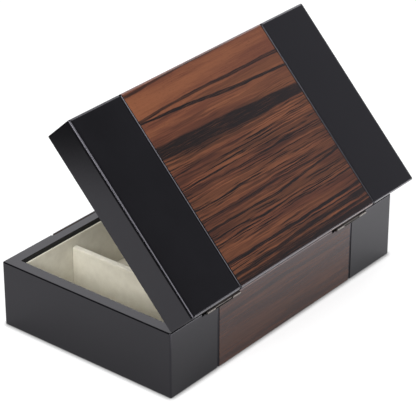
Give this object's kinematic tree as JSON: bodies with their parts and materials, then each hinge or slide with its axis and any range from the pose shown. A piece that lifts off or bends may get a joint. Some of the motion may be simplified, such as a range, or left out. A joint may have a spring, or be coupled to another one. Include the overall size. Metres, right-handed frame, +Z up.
{
  "type": "jewelry organizer box",
  "caption": "Low hinged-lid box in black lacquer with a striped wood veneer band between V grooves, lined in cream suede and divided into compartments for jewelry.",
  "frame": {"origin": "middle of the underside, on the surface that the box stands on", "axes": "+X to the right end seen from the front, -Y the front, +Y the hinge side, +Z up"},
  "size_m": [0.3, 0.2023, 0.2128],
  "materials": {
    "black_lacquer": "satin black lacquer",
    "striped_veneer": "striped ebony veneer under clear satin lacquer",
    "painted_board": "matt painted board",
    "black_felt": "felt",
    "cream_suede": "napped suede",
    "hinge_plate": "nickel plated"
  },
  "bodies": {
    "base": {"base_right_wall": "black_lacquer", "base_left_wall": "black_lacquer", "base_front_wall": "black_lacquer", "base_rear_wall": "black_lacquer", "base_front_veneer": "striped_veneer", "base_rear_veneer": "striped_veneer", "bottom_board": "painted_board", "underside_felt": "black_felt", "base_floor_lining": "cream_suede", "base_right_lining": "cream_suede", "base_left_lining": "cream_suede", "base_front_lining": "cream_suede", "base_rear_lining": "cream_suede", "right_divider": "cream_suede", "left_divider": "cream_suede", "cross_divider": "cream_suede", "right_hinge_base_leaf": "hinge_plate", "right_hinge_pin": "hinge_plate", "right_hinge_base_screw_1": "hinge_plate", "right_hinge_base_screw_2": "hinge_plate", "left_hinge_base_leaf": "hinge_plate", "left_hinge_pin": "hinge_plate", "left_hinge_base_screw_1": "hinge_plate", "left_hinge_base_screw_2": "hinge_plate"},
    "lid": {"lid_top_board": "black_lacquer", "lid_right_wall": "black_lacquer", "lid_left_wall": "black_lacquer", "lid_front_wall": "black_lacquer", "lid_rear_wall": "black_lacquer", "lid_top_veneer": "striped_veneer", "lid_front_veneer": "striped_veneer", "lid_rear_veneer": "striped_veneer", "lid_top_lining": "cream_suede", "lid_right_lining": "cream_suede", "lid_left_lining": "cream_suede", "lid_front_lining": "cream_suede", "lid_rear_lining": "cream_suede", "right_hinge_lid_leaf": "hinge_plate", "right_hinge_lid_screw_1": "hinge_plate", "right_hinge_lid_screw_2": "hinge_plate", "left_hinge_lid_leaf": "hinge_plate", "left_hinge_lid_screw_1": "hinge_plate", "left_hinge_lid_screw_2": "hinge_plate"}
  },
  "joints": [
    {"name": "lid_hinge", "type": "hinge", "parent": "base", "child": "lid", "pos_m": [0, 0.0917, 0.06015], "axis": [-1, 0, 0], "range_deg": [-46.7, 53.3]}
  ]
}
